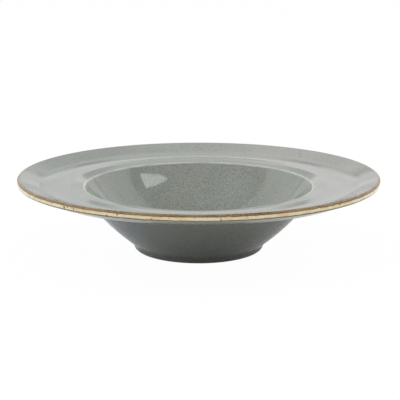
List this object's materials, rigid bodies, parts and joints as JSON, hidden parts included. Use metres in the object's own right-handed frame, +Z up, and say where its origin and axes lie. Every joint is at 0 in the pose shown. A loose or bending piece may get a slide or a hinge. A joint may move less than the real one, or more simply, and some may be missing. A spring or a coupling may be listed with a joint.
{
  "type": "pasta plate",
  "caption": "Wide-rimmed glazed pasta plate with a deep round well, a low shoulder, an upturned lip, a painted edge band and a low foot ring.",
  "frame": {"origin": "centre of the foot ring's resting plane", "axes": "+Z up along the plate's axis of symmetry; X and Y lie in the table's plane"},
  "size_m": [0.26, 0.26, 0.0553],
  "materials": {
    "bare_clay": "matt unglazed stoneware",
    "grey_glaze": "glossy grey-green glaze with fine dark speckles",
    "brown_line": "glossy painted brown line with an uneven edge",
    "cream_band": "glossy cream band with dark specks"
  },
  "bodies": {
    "root": {"clay_body": "bare_clay", "top_glaze": "grey_glaze", "edge_line": "brown_line", "edge_band": "cream_band", "underside_glaze": "grey_glaze", "base_glaze": "grey_glaze"}
  },
  "joints": []
}
